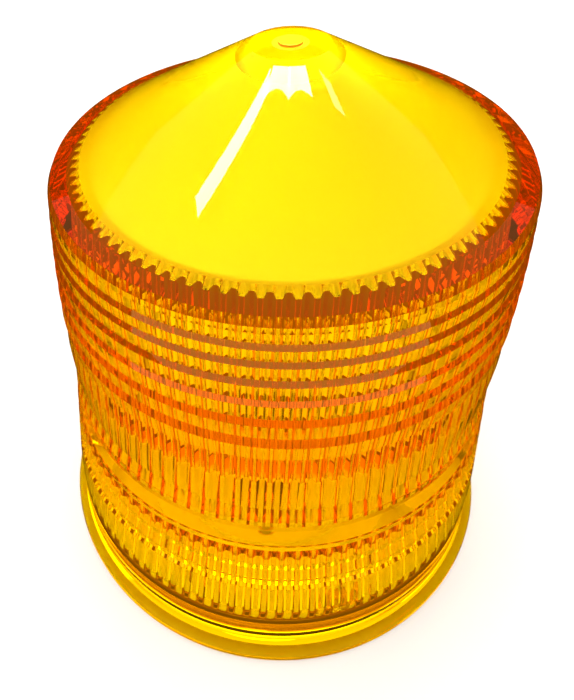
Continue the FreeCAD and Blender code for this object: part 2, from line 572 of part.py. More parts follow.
# ---------------------------------------------------------------- top reflector

node(cylinder("stem_body", "stem_r", "hub_z - column_top", "0", "0", "column_top"), "reflector_stem")
node(turned("reflector_body", [
    ("0", "hub_z"), ("reflector_hub_r", "hub_z"),
    ("reflector_hub_r", "crown_z - reflector_gap - reflector_thick"),
    ("crown_r", "crown_z - reflector_gap - reflector_thick"),
    ("reflector_r", "reflector_rim_z - reflector_thick"), ("reflector_r", "reflector_rim_z"),
    ("crown_r", "crown_z - reflector_gap"), ("0", "crown_z - reflector_gap")]), "top_reflector")

# ---------------------------------------------------------------- mode switch

knob_disc = cylinder("knob_disc", "knob_r", "knob_high", knob_x, knob_y, "knob_z")
knob_shaft = cylinder("knob_shaft", "shaft_r", "shaft_top - knob_z - over", knob_x, knob_y,
                      "knob_z + over")
knob_cuts = [box(f"knob_side_{index}", "grip_cut_long", "grip_cut_wide", "grip_cut + over",
                 f"{knob_x} - grip_cut_long / 2", f"{knob_y} + {offset}", "knob_z - over")
             for index, offset in enumerate(("grip_wide / 2", "(0 - grip_wide / 2) - grip_cut_wide"))]
node(cut("knob_body", joined("knob_blank", [knob_disc, knob_shaft]), knob_cuts), "mode_knob")
switch_case = cylinder("switch_case", "switch_r", "switch_top - pod_top", knob_x, knob_y, "pod_top")
switch_bore = cylinder("switch_bore", "shaft_hole + switch_gap", "switch_floor - pod_top + over",
                       knob_x, knob_y, "pod_top - over")
node(cut("switch_body", switch_case, [switch_bore]), "mode_switch")

# ---------------------------------------------------------------- test button

cap = cylinder("cap", "cap_r", "cap_top - cap_z", button_x, button_y, "cap_z")
stalk = cylinder("stalk", "stalk_r", "stalk_top - cap_z", button_x, button_y, "cap_z")
node(joined("button_body", [cap, stalk]), "test_button")
clip_disc = cylinder("clip_disc", "clip_r", "clip_thick", button_x, button_y, "clip_z")
clip_bore = cylinder("clip_bore", "stalk_r + press_gap", "clip_thick + 2 * over", button_x, button_y,
                     "clip_z - over")
node(cut("clip_body", clip_disc, [clip_bore]), "button_clip")
node(coil("button_spring_body", "spring_r", "spring_wire", "spring_pitch", "spring_high", button_x,
          button_y, "cap_top + spring_wire"), "button_spring")
tact_case = cylinder("tact_case", "tact_r", "tact_top - pod_top", button_x, button_y, "pod_top")
tact_bore = cylinder("tact_room", "tact_bore", "tact_roof - pod_top + over", button_x, button_y,
                     "pod_top - over")
node(cut("tact_body", tact_case, [tact_bore]), "test_switch")

# ---------------------------------------------------------------- leads to the board


def rounded_route(points):
    """Straight runs joined by tangent arcs, each as large as its two runs allow."""
    edges = []
    start = points[0]
    for before, corner, after in zip(points, points[1:], points[2:]):
        inward, outward = before - corner, after - corner
        turn = math.pi - inward.getAngle(outward)
        reach = 0.45 * min(inward.Length, outward.Length)
        radius = reach / math.tan(turn / 2)
        inward.normalize()
        outward.normalize()
        half = (inward + outward).normalize()
        middle = corner + half * (radius / math.cos(turn / 2) - radius)
        edges.append(Part.LineSegment(start, corner + inward * reach).toShape())
        edges.append(Part.Arc(corner + inward * reach, middle, corner + outward * reach).toShape())
        start = corner + outward * reach
    edges.append(Part.LineSegment(start, points[-1]).toShape())
    return Part.Wire(edges)


def lead(name, label, turn, foot):
    """A lead from a switch on the base up to the edge of the circuit board."""
    angle = math.radians(DIMENSIONS[turn])
    out = Vector(math.cos(angle), math.sin(angle), 0)
    low, high = number("knob_at"), number("lead_end_at")
    route = [out * low + Vector(0, 0, number(foot)),
             out * low + Vector(0, 0, number("lead_bend_low")),
             out * high + Vector(0, 0, number("lead_bend_high")),
             out * high + Vector(0, 0, number("board_z"))]
    spine = rounded_route(route)
    ring = Part.Wire([Part.Circle(route[0], Vector(0, 0, 1), number("lead_r")).toShape()])
    tube = spine.makePipeShell([ring], True, False)
    expected = math.pi * number("lead_r") ** 2 * spine.Length
    if abs(tube.Volume - expected) > 0.03 * expected:
        raise SystemExit(f"{label}: volume {tube.Volume:.1f}, expected {expected:.1f}")
    thing = doc.addObject("Part::Feature", name)
    thing.Shape = tube
    thing.Placement = Placement(Vector(0, 0, 0), Rotation())
    node(thing, label)


lead("mode_lead_body", "mode_lead", "knob_turn", "switch_top")
lead("test_lead_body", "test_lead", "button_turn", "tact_top")

# ---------------------------------------------------------------- check and write

doc.recompute()
for thing in doc.Objects:
    if "Invalid" in thing.State or "Error" in thing.State:
        raise SystemExit(f"{thing.Name} ({thing.Label}) failed: {thing.State}")
for thing in NODES:
    shape = thing.Shape
    if shape.isNull() or not shape.isValid() or not shape.Solids:
        raise SystemExit(f"{thing.Label}: no valid solid")
    size = shape.BoundBox
    print(f"{thing.Label:20s} {len(shape.Solids):3d} solids {shape.Volume / 1000:9.2f} cm3 "
          f"z {size.ZMin:7.2f} to {size.ZMax:7.2f}")
    shape.exportStep(f"parts/{thing.Label}.step")
print(len(NODES), "nodes written")
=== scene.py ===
# %% [markdown]
# # An amber warning beacon
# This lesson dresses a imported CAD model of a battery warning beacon. The CAD part holds the sizes and the
# joints. Here each piece gets its finish, and the lens, whose look is all in its fine prisms, gets a mesh of
# its own. Everything is in metres, +Z is up, and the lens's flange stands on the plane z = 0.

# %% Load the frame
import json
import math

import bpy
import numpy as np
from mathutils import Matrix, Vector


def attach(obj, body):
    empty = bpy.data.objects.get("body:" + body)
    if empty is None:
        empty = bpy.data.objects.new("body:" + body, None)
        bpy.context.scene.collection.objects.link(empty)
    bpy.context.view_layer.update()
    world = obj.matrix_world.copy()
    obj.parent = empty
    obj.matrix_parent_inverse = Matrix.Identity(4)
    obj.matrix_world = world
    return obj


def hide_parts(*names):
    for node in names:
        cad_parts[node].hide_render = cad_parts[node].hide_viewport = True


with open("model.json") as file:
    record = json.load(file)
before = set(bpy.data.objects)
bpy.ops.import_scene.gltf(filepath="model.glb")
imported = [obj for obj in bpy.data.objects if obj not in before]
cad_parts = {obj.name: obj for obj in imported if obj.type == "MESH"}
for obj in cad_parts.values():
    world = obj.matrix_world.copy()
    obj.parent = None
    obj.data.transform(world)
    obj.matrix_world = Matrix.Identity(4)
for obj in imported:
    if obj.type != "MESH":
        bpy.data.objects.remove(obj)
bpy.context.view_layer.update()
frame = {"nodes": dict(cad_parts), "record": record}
NODES = frame["nodes"]

# %% [markdown]
# ## Units and colours
# Real sizes are easiest to read in millimetres, so one name turns them into metres. Colours are written as
# sRGB hex, the way a paint chart gives them, and one function turns them into the linear values that the
# renderer works with.

# %% Units and colours
MM = 0.001
PAPER_WHITE = "b2aea8"


def colour(hex_value, alpha=1.0):
    """An sRGB hex colour such as 'f2a000' as a linear RGBA tuple."""
    channels = [int(hex_value[i:i + 2], 16) / 255 for i in (0, 2, 4)]
    linear = [c / 12.92 if c <= 0.04045 else ((c + 0.055) / 1.055) ** 2.4 for c in channels]
    return (*linear, alpha)


print("paper in linear light:", [round(c, 3) for c in colour(PAPER_WHITE)])

# %% [markdown]
# ## One function for shader nodes
# A material is a small graph. This one function adds a node, sets its values by socket name and links
# other nodes' outputs into it, which keeps each material's recipe short enough to read.

# %% Shader helper


def add(tree, kind, values=None, links=None, **settings):
    """Adds a node: settings are its own properties, values fill sockets, links feed sockets."""
    node = tree.nodes.new(kind)
    for name, value in settings.items():
        setattr(node, name, value)
    for socket, value in (values or {}).items():
        node.inputs[socket].default_value = value
    for socket, source in (links or {}).items():
        tree.links.new(source, node.inputs[socket])
    return node


def new_material(name):
    """An empty material with its output node; returns the material, its tree and the output."""
    material = bpy.data.materials.new(name)
    material.use_nodes = True
    tree = material.node_tree
    tree.nodes.clear()
    return material, tree, add(tree, "ShaderNodeOutputMaterial")


# %% [markdown]
# ## The camera
# The camera looks down at the beacon from a little above it, close enough that the cone top looks wide
# and the flange narrow. A view direction, a slight roll and a lens length say it all, and a small lens
# shift slides the beacon across the frame without turning the camera.

# %% Camera
CAMERA_BACK = 113.52 * MM
CAMERA_HIGH = 193.8 * MM
CAMERA_PITCH = math.radians(52.335)
CAMERA_YAW = math.radians(-10.227)
CAMERA_ROLL = math.radians(-5.231)
LENS_LENGTH_MM, SENSOR_WIDTH_MM = 28.68, 36
SHIFT_ACROSS, SHIFT_UP = 0.1066, 0.0473
NEAREST_SEEN = 10 * MM

forward = Vector((math.sin(CAMERA_YAW) * math.cos(CAMERA_PITCH),
                  math.cos(CAMERA_YAW) * math.cos(CAMERA_PITCH), -math.sin(CAMERA_PITCH)))
level_right = Vector((math.cos(CAMERA_YAW), -math.sin(CAMERA_YAW), 0))
level_up = level_right.cross(forward)
right = level_right * math.cos(CAMERA_ROLL) + level_up * math.sin(CAMERA_ROLL)
up = level_up * math.cos(CAMERA_ROLL) - level_right * math.sin(CAMERA_ROLL)

camera_data = bpy.data.cameras.new("camera")
camera_data.lens = LENS_LENGTH_MM
camera_data.sensor_width = SENSOR_WIDTH_MM
camera_data.shift_x = SHIFT_ACROSS
camera_data.shift_y = SHIFT_UP
camera_data.clip_start = NEAREST_SEEN
camera = bpy.data.objects.new("camera", camera_data)
bpy.context.scene.collection.objects.link(camera)
facing = Matrix((right, up, -forward)).transposed().to_4x4()
camera.matrix_world = Matrix.Translation((0, -CAMERA_BACK, CAMERA_HIGH)) @ facing
bpy.context.scene.camera = camera
print("camera stands", round(1000 * camera.location.length), "mm from the origin")

# %% [markdown]
# ## The white room
# A clear amber moulding looks like what is behind it, so the beacon is lit the way a product is shot on a
# light table, with white on every side. A room that bright would also be mirrored all over the skin and
# veil the amber. It is hidden from reflections, and lamps of their own are mirrored instead. The price is
# that bare metal, which shows only what it mirrors, comes out dark.

# %% The white room
ROOM_STRENGTH = 1.2

scene = bpy.context.scene
scene.view_settings.view_transform = "Standard"
scene.view_settings.look = "None"
world = bpy.data.worlds.new("white_room")
world.use_nodes = True
scene.world = world
background = world.node_tree.nodes["Background"]
background.inputs["Color"].default_value = colour("ffffff")
background.inputs["Strength"].default_value = ROOM_STRENGTH
world.cycles_visibility.glossy = False
print("the room shines at", ROOM_STRENGTH)

# %% [markdown]
# ## Wall and ceiling lamps
# Five wide soft lamps light the paper and the beacon from above and all round. Each lamp either lights
# things or is only mirrored by them, so that the light stays even while each reflection is placed by
# itself. The two mirrored ones here are a dim lamp overhead and a low strip in front of the skirt.

# %% Wall and ceiling lamps


def soft_lamp(name, place, target, size, radiance, mirrored):
    """A rectangular lamp at place, facing target; mirrored ones only show as reflections, others never do."""
    data = bpy.data.lights.new(name, "AREA")
    data.shape = "RECTANGLE"
    data.size, data.size_y = size
    data.energy = radiance * math.pi * size[0] * size[1]
    lamp = bpy.data.objects.new(name, data)
    scene.collection.objects.link(lamp)
    away = Vector(place) - Vector(target)
    lamp.matrix_world = Matrix.Translation(place) @ away.to_track_quat("Z", "Y").to_matrix().to_4x4()
    lamp.visible_glossy = mirrored
    lamp.visible_diffuse = not mirrored
    lamp.visible_transmission = not mirrored
    lamp.visible_camera = False
    return lamp


WALL_AWAY, WALL_HIGH, WALL_SIZE, WALL_RADIANCE = 0.9, 0.45, (1.2, 0.6), 4.0
WALLS = {"left_wall": (-1, 0), "right_wall": (1, 0), "back_wall": (0, 1), "front_wall": (0, -1)}

soft_lamp("ceiling", (-0.15, 0.1, 0.9), (0, 0, 0.05), (1.2, 1.2), 2.4, mirrored=False)
for wall, (side_x, side_y) in WALLS.items():
    wall_place = (side_x * WALL_AWAY, side_y * WALL_AWAY, WALL_HIGH)
    soft_lamp(wall, wall_place, (0, 0, 0.12), WALL_SIZE, WALL_RADIANCE, mirrored=False)
soft_lamp("room", (0, 0, 1.2), (0, 0, 0.05), (3.0, 3.0), 0.25, mirrored=True)
soft_lamp("front_glow", (0, -0.9, 0.31), (0, 0, 0.13), (3.5, 0.13), 1.6, mirrored=True)
print("soft lamps:", len(bpy.data.lights))

# %% [markdown]
# ## Strip lamps
# The bright arch on the cone is the mirror image of a few narrow lamps. A polished cone mirrors a straight
# strip as a curve, so each strip is placed by the two directions in which the skin near the tip should see
# its ends.

# %% Strip lamps
STRIP_AWAY = 0.5
NEAR_TIP = Vector((0, -0.011, 0.147))


def strip_lamp(name, first, second, wide, radiance):
    """A narrow lamp seen only in reflections, between two directions from a point near the cone's tip."""
    start, end = [NEAR_TIP + STRIP_AWAY * Vector(way).normalized() for way in (first, second)]
    lamp = soft_lamp(name, (start + end) / 2, NEAR_TIP, (wide, (end - start).length), radiance, mirrored=True)
    outward = ((start + end) / 2 - NEAR_TIP).normalized()
    along = (end - start).normalized()
    along = (along - outward * along.dot(outward)).normalized()
    turn = Matrix((along.cross(outward), along, outward)).transposed().to_4x4()
    lamp.matrix_world = Matrix.Translation((start + end) / 2) @ turn
    return lamp


strip_lamp("arch_left", (-0.25, 0.256, 0.933), (-0.492, 0.099, 0.853), 0.045, 60.0)
strip_lamp("arch_top", (-0.25, 0.252, 0.933), (0.015, 0.195, 0.979), 0.03, 60.0)
strip_lamp("arch_right", (0.0, 0.195, 0.979), (0.25, 0.25, 0.93), 0.03, 60.0)
strip_lamp("arch_leg", (0.408, 0.381, 0.829), (0.438, 0.309, 0.844), 0.03, 12.0)
print("lamps in all:", len(bpy.data.lights))

# %% [markdown]
# ## The paper floor
# The beacon stands on matt white paper, whose fibres lie in clumps about 3 mm across and give it a faint
# grain. The noise has no coordinates of its own, so its scale counts clumps across the whole sheet. The
# sheet lies a hair below z = 0, so that it never fights with the flange's underside, and like the room it
# is hidden from reflections.

# %% The paper floor
FLOOR_HALF = 1.5
CLUMPS_ACROSS = 900.0
FLOOR_Z = -0.2 * MM

paper, tree, output = new_material("white_paper")
grain = add(tree, "ShaderNodeTexNoise", {"Scale": CLUMPS_ACROSS, "Detail": 3.0})
bump = add(tree, "ShaderNodeBump", {"Strength": 0.05, "Distance": 0.1 * MM}, {"Height": grain.outputs["Fac"]})
sheet = add(tree, "ShaderNodeBsdfPrincipled", {"Base Color": colour(PAPER_WHITE), "Roughness": 0.9},
            {"Normal": bump.outputs["Normal"]})
tree.links.new(sheet.outputs["BSDF"], output.inputs["Surface"])

floor_mesh = bpy.data.meshes.new("floor")
floor_mesh.from_pydata([(-FLOOR_HALF, -FLOOR_HALF, FLOOR_Z), (FLOOR_HALF, -FLOOR_HALF, FLOOR_Z),
                        (FLOOR_HALF, FLOOR_HALF, FLOOR_Z), (-FLOOR_HALF, FLOOR_HALF, FLOOR_Z)],
                       [], [(0, 1, 2, 3)])
floor_mesh.materials.append(paper)
floor = bpy.data.objects.new("floor", floor_mesh)
scene.collection.objects.link(floor)
floor.visible_glossy = False
print("paper is", 2 * FLOOR_HALF, "m square")

# %% [markdown]
# ## Amber polycarbonate
# Beacon lenses are injection moulded from polycarbonate dyed right through, IOR 1.585. The dye takes blue
# light first, then green, so thin walls look yellow and long paths through the wall go brown. That is
# absorption inside the volume, not a surface colour, so the skin stays clear, with the slow waviness of a
# thick moulding, one wave about every 17 mm. The roof's underside is rougher than the rest, which hides
# what lies below it. One closed mesh needs one material, so a mask made from the position finds that
# face. Two liberties stand for the haze of real dyed plastic, which a perfectly clear volume lacks: the
# mirrored light is tinted amber, and the plastic has a very weak painted glow.

# %% Amber polycarbonate
ABSORB_PER_M = (2.5, 37.0, 900.0)
POLYCARBONATE_IOR = 1.585
WAVES_PER_M = 60.0
ROOF_ROUGHNESS = 0.35
# The mask lies below a cone through the middle of the roof's wall, and above the roof's foot.
ROOF_SLOPE, ROOF_TIP, ROOF_FOOT = -0.51, 151.5 * MM, 127.8 * MM


def under_roof(tree, place):
    """A mask that is 1 on the roof's underside and 0 elsewhere."""
    spot = add(tree, "ShaderNodeSeparateXYZ", links={"Vector": place})
    flat = add(tree, "ShaderNodeVectorMath", {1: (1, 1, 0)}, {0: place}, operation="MULTIPLY")
    away = add(tree, "ShaderNodeVectorMath", links={0: flat.outputs["Vector"]}, operation="LENGTH")
    middle = add(tree, "ShaderNodeMath", {1: ROOF_SLOPE, 2: ROOF_TIP}, {0: away.outputs["Value"]},
                 operation="MULTIPLY_ADD")
    below = add(tree, "ShaderNodeMath", links={0: spot.outputs["Z"], 1: middle.outputs["Value"]},
                operation="LESS_THAN")
    above = add(tree, "ShaderNodeMath", {1: ROOF_FOOT}, {0: spot.outputs["Z"]}, operation="GREATER_THAN")
    both = add(tree, "ShaderNodeMath", links={0: below.outputs["Value"], 1: above.outputs["Value"]},
               operation="MULTIPLY")
    return both.outputs["Value"]


def amber_plastic():
    """Clear amber plastic: a glassy skin, rougher under the roof, and dye that absorbs with depth."""
    material, tree, output = new_material("amber_polycarbonate")
    place = add(tree, "ShaderNodeTexCoord").outputs["Object"]
    waves = add(tree, "ShaderNodeTexNoise", {"Scale": WAVES_PER_M, "Detail": 2.0}, {"Vector": place})
    skin = add(tree, "ShaderNodeBump", {"Strength": 0.04, "Distance": 0.4 * MM},
               {"Height": waves.outputs["Fac"]})
    rough = add(tree, "ShaderNodeMapRange", {"To Min": 0.0, "To Max": ROOF_ROUGHNESS},
                {"Value": under_roof(tree, place)})
    # The emission is painted light: a weak amber glow all over the lens, which is no lamp.
    clear = add(tree, "ShaderNodeBsdfPrincipled",
                {"Base Color": colour("ffffff"), "IOR": POLYCARBONATE_IOR, "Transmission Weight": 1.0,
                 "Specular Tint": colour("ffda6c"), "Emission Color": colour("ffad00"),
                 "Emission Strength": 0.06},
                {"Roughness": rough.outputs["Result"], "Normal": skin.outputs["Normal"]})
    density = max(ABSORB_PER_M)
    kept = tuple(1 - share / density for share in ABSORB_PER_M)
    dye = add(tree, "ShaderNodeVolumeAbsorption", {"Color": (*kept, 1.0), "Density": density})
    tree.links.new(clear.outputs["BSDF"], output.inputs["Surface"])
    tree.links.new(dye.outputs["Volume"], output.inputs["Volume"])
    return material


through = [round(math.exp(-share * 10 * MM), 3) for share in ABSORB_PER_M]
print("red, green and blue left after 10 mm:", through)

# %% [markdown]
# ## The lens's profile
# The lens is one moulding with a thick wall. Outside, prism steps cross the drum: nearly upright faces
# that let light through, with short slopes between them that turn it away and look dark. Inside, ninety
# upright flutes run down an almost straight wall, and cut each bright band into a row of cells. The
# profile is written as levels in millimetres, down the outside and back up the inside.

# %% Flutes and steps
FLUTES = 90
FLUTE_DEEP = 1.6
# One flute, as places along its width and how far it has risen there.
FLUTE_SHAPE = ((0.0, 0.0), (0.2, 0.0), (0.27, 0.1), (0.43, 0.9),
               (0.5, 1.0), (0.7, 1.0), (0.77, 0.9), (0.93, 0.1))
AROUND = FLUTES * len(FLUTE_SHAPE)

# Each prism step is the height of its slope's top and of its foot.
DRUM_STEPS = ((127.4, 126.2), (123.9, 122.8), (120.2, 119.1), (115.9, 114.7), (111.0, 109.9), (106.0, 104.4),
              (100.5, 98.2), (93.9, 88.3))
SKIRT_STEPS = ((74.4, 69.9), (65.2, 60.1), (57.6, 52.5), (48.9, 45.6), (41.0, 40.3))
UPRIGHT_SHARE = 0.12
print(len(DRUM_STEPS) + len(SKIRT_STEPS), "prism steps,", FLUTES, "flutes")

# %% [markdown]
# ## The wall's outline
# The drum bulges on one gentle arc, found from three points of it, and the skirt flares in a straight
# line. The stepped walls follow both, so a step never leaves the outline.

# %% The wall's outline
WAIST, BELLY, SHOULDER = (57.7, 85.0), (54.9, 109.0), (51.4, 127.4)
NECK, HIP = (58.2, 76.5), (67.0, 34.0)


def circle_through(low, middle, high):
    """Centre and radius of the circle through three (radius, height) points."""
    (x1, y1), (x2, y2), (x3, y3) = low, middle, high
    sides = np.array([[x2 - x1, y2 - y1], [x3 - x1, y3 - y1]])
    squares = 0.5 * np.array([x2 * x2 - x1 * x1 + y2 * y2 - y1 * y1, x3 * x3 - x1 * x1 + y3 * y3 - y1 * y1])
    cx, cy = np.linalg.solve(sides, squares)
    return cx, cy, math.hypot(x1 - cx, y1 - cy)


DRUM_X, DRUM_Z, DRUM_R = circle_through(WAIST, BELLY, SHOULDER)


def drum_side(height):
    """Radius of the drum's gentle arc at a height."""
    return DRUM_X + math.sqrt(DRUM_R ** 2 - (height - DRUM_Z) ** 2)


def skirt_side(height):
    """Radius of the skirt's straight flare at a height."""
    return NECK[0] + (HIP[0] - NECK[0]) * (NECK[1] - height) / (NECK[1] - HIP[1])


def stepped(steps, side, held):
    """Levels of a stepped wall: nearly upright down to each step's top, then a slope out to its foot."""
    levels = []
    for top, foot in steps:
        levels.append((held + UPRIGHT_SHARE * (side(top) - held), top))
        held = side(foot)
        levels.append((held, foot))
    return levels


print("the drum's arc has a radius of", round(DRUM_R), "mm")

# %% Levels outside and inside
GATE_MARK = [(0.0, 150.2), (2.1, 150.2), (2.35, 150.1), (2.4, 149.7)]
# The level close under the tip disc keeps the shading of the long cone from bending towards its rim.
TIP_DISC = [(7.3, 149.7), (7.7, 149.65), (8.1, 149.5), (8.8, 149.14)]
CONE_FOOT = [(46.9, 129.6), (50.4, 129.0)]
FLANGE = [(68.1, 28.0), (69.3, 20.0), (70.2, 14.0), (70.9, 8.6), (71.8, 5.6), (73.4, 4.0), (74.2, 3.5),
          (74.8, 3.2), (75.0, 2.6), (75.0, 0.0)]

outside = GATE_MARK + TIP_DISC + CONE_FOOT
outside += stepped(DRUM_STEPS, drum_side, SHOULDER[0]) + [WAIST, NECK]
outside += stepped(SKIRT_STEPS, skirt_side, NECK[0]) + [HIP] + FLANGE

# Each inner level is a mean radius, a height and how deep the flutes are there.
SEAT_INSIDE = [(67.3, 0.0, 0), (67.3, 8.0, 0), (65.4, 8.0, 0), (65.4, 20.0, 0), (64.8, 24.0, 0)]
SKIRT_INSIDE = [(64.6, 25.2, 1), (61.0, 33.0, 1), (54.8, 44.6, 1), (54.2, 46.0, 1), (54.0, 52.0, 0),
                (51.5, 57.0, 0), (51.3, 61.5, 0), (46.2, 78.0, 1)]
DRUM_INSIDE = [(45.9, 85.0, 1), (44.8, 123.0, 1), (44.6, 127.6, 1)]
ROOF_INSIDE = [(43.4, 129.0, 0), (30.0, 135.3, 0), (9.4, 145.4, 0), (0.0, 145.4, 0)]
inside = SEAT_INSIDE + SKIRT_INSIDE + DRUM_INSIDE + ROOF_INSIDE
print(len(outside), "levels outside,", len(inside), "levels inside")

# %% [markdown]
# ## Screw bosses
# Three bosses inside the skirt hold the brass inserts that the lens screws turn into. Each is a cylinder
# with a flat web towards the wall and a blind hole from below. Joining them to a fluted wall would need a
# boolean, so each is a closed body of its own in the lens's mesh. Its web ends 0.2 mm short of the wall,
# but the wall draws in above z = 20 mm, and from 21 mm up the web runs into it by up to 0.5 mm.

# %% Screw bosses
BOSS_AT, BOSS_R, BOSS_FOOT, BOSS_TOP = 60.0, 5.0, 8.5, 24.0
BOSS_HOLE, BOSS_HOLE_TOP = 3.12, 19.0
BOSS_POINTS = 31
WEB_END, WEB_HALF = 65.2, 2.5
BOSS_TURNS = (-70, 50, 170)


def boss_rings():
    """Rings of one boss and its web, lying along +X: the outline low and high, the hole low and high."""
    start = math.asin(WEB_HALF / BOSS_R)
    turns = np.linspace(start, 2 * math.pi - start, BOSS_POINTS)
    outline = [(BOSS_AT + BOSS_R * math.cos(t), BOSS_R * math.sin(t)) for t in turns]
    outline += [(WEB_END, -WEB_HALF), (WEB_END, WEB_HALF)]
    aims = [math.atan2(y, x - BOSS_AT) for x, y in outline]
    hole = [(BOSS_AT + BOSS_HOLE * math.cos(t), BOSS_HOLE * math.sin(t)) for t in aims]
    return [(outline, BOSS_FOOT), (outline, BOSS_TOP), (hole, BOSS_FOOT), (hole, BOSS_HOLE_TOP)]


def add_bosses(points, faces):
    """Appends the three bosses, each a closed body beside the wall."""
    rings = boss_rings()
    count = len(rings[0][0])
    for turn in BOSS_TURNS:
        cos, sin = math.cos(math.radians(turn)), math.sin(math.radians(turn))
        first = len(points)
        for ring, height in rings:
            points += [((x * cos - y * sin) * MM, (x * sin + y * cos) * MM, height * MM) for x, y in ring]
        starts = [first + i * count for i in range(len(rings))]
        low, high, hole_low, hole_high = [range(start, start + count) for start in starts]
        for i in range(count):
            j = (i + 1) % count
            faces.append((low[i], low[j], high[j], high[i]))
            faces.append((hole_low[j], hole_low[i], hole_high[i], hole_high[j]))
            faces.append((low[j], low[i], hole_low[i], hole_low[j]))
        faces.append(tuple(high))
        faces.append(tuple(reversed(hole_high)))


print(len(BOSS_TURNS), "bosses at", BOSS_TURNS, "degrees")

# %% [markdown]
# ## The lens's mesh
# The wall is turned from its levels like a pot: every level becomes a ring of points, eight to a flute,
# and neighbouring rings are joined by faces. Smooth shading would smear the prisms' edges, so edges along
# a ring are marked sharp wherever the wall turns by more than a few degrees.

# %% Turn the lens
KINK = math.radians(9)


def lens_rows():
    """Every level as AROUND radii and a height, from the outer apex round to the inner apex."""
    shape = np.tile([deep for _, deep in FLUTE_SHAPE], FLUTES) - 0.5
    rows = [(np.full(AROUND, radius), height) for radius, height in outside]
    rows += [(radius + FLUTE_DEEP * deep * shape, height) for radius, height, deep in inside]
    return rows


def turned_wall(rows):
    """Points and faces of the wall, turned from its levels."""
    offsets = np.array([place for place, _ in FLUTE_SHAPE])
    angle = 2 * math.pi * (np.arange(FLUTES)[:, None] + offsets).ravel() / FLUTES
    points = [(0.0, 0.0, rows[0][1] * MM)]
    for radii, height in rows[1:-1]:
        points += zip(radii * np.cos(angle) * MM, radii * np.sin(angle) * MM, np.full(AROUND, height * MM))
    last = len(points)
    points.append((0.0, 0.0, rows[-1][1] * MM))
    following = np.roll(np.arange(AROUND), -1)
    faces = [(0, 1 + i, 1 + following[i]) for i in range(AROUND)]
    for level in range(len(rows) - 3):
        above, below = 1 + level * AROUND, 1 + (level + 1) * AROUND
        faces += [(above + i, below + i, below + following[i], above + following[i]) for i in range(AROUND)]
    ring = 1 + (len(rows) - 3) * AROUND
    faces += [(last, ring + following[i], ring + i) for i in range(AROUND)]
    return points, faces


print(AROUND, "points to a ring")

# %% Sharp edges


def kinked(rows):
    """For each level, whether the wall turns there by more than KINK."""
    points = np.array([(radii.mean(), height) for radii, height in rows])
    steps = np.diff(points, axis=0)
    angles = np.arctan2(steps[:, 1], steps[:, 0])
    turns = np.abs((np.diff(angles) + math.pi) % (2 * math.pi) - math.pi)
    return np.concatenate(([False], turns > KINK, [False]))


def sharp_edges(mesh, rows, wall_points):
    """For each edge, whether it is sharp: kinked rings of the wall, and every edge of the bosses."""
    ends = np.empty(2 * len(mesh.edges), int)
    mesh.edges.foreach_get("vertices", ends)
    ends = ends.reshape(-1, 2)
    levels = ((ends + AROUND - 1) // AROUND).clip(0, len(rows) - 1)
    on_ring = levels[:, 0] == levels[:, 1]
    on_boss = ends.min(axis=1) >= wall_points
    return (on_ring & kinked(rows)[levels[:, 0]]) | on_boss


def build_lens():
    """The lens's mesh: the turned wall, which is one closed body, and the three bosses."""
    rows = lens_rows()
    points, faces = turned_wall(rows)
    wall_points = len(points)
    add_bosses(points, faces)
    mesh = bpy.data.meshes.new("amber_lens")
    mesh.from_pydata(points, [], faces)
    mesh.materials.append(amber_plastic())
    mesh.polygons.foreach_set("use_smooth", [True] * len(faces))
    sharp = sharp_edges(mesh, rows, wall_points)
    mesh.attributes.new("sharp_edge", "BOOLEAN", "EDGE").data.foreach_set("value", sharp)
    mesh.validate()
    return mesh


lens_mesh = build_lens()
lens = bpy.data.objects.new("amber_lens", lens_mesh)
scene.collection.objects.link(lens)
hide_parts("lens")
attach(lens, "lens")
print("lens faces:", len(lens_mesh.polygons))

# %% [markdown]
# ## Moulded plastics and rubber
# Everything under the lens keeps its CAD mesh and gets a finish. A moulding takes the fine grain of its
# mould, which breaks up both its shine and its surface, so one noise moves roughness and bump together.
# Real mould grain is about 0.1 mm, too fine to show here, so it is drawn coarser, and the shrunk sleeves
# have ripples of 1.5 and 2.5 mm instead. IOR 1.53 is ABS's. Nylon, PVC and epoxy lie close to it, and
# silicone rubber's 1.41 would hardly show.

# %% Moulded plastics and rubber
PLASTIC_IOR = 1.53
PLASTIC_SWING = 0.08


def plastic(name, tint, roughness, grain_mm, depth_mm):
    """Moulded plastic: a noise of the mould's own grain moves the roughness and the bump."""
    material, tree, output = new_material(name)
    place = add(tree, "ShaderNodeTexCoord")
    grain = add(tree, "ShaderNodeTexNoise", {"Scale": 1 / (grain_mm * MM), "Detail": 4.0},
                {"Vector": place.outputs["Object"]})
    skin = add(tree, "ShaderNodeBump", {"Strength": 0.3, "Distance": depth_mm * MM},
               {"Height": grain.outputs["Fac"]})
    rough = add(tree, "ShaderNodeMapRange",
                {"To Min": roughness - PLASTIC_SWING, "To Max": roughness + PLASTIC_SWING},
                {"Value": grain.outputs["Fac"]})
    body = add(tree, "ShaderNodeBsdfPrincipled", {"Base Color": colour(tint), "IOR": PLASTIC_IOR},
               {"Roughness": rough.outputs["Result"], "Normal": skin.outputs["Normal"]})
    tree.links.new(body.outputs["BSDF"], output.inputs["Surface"])
    return material


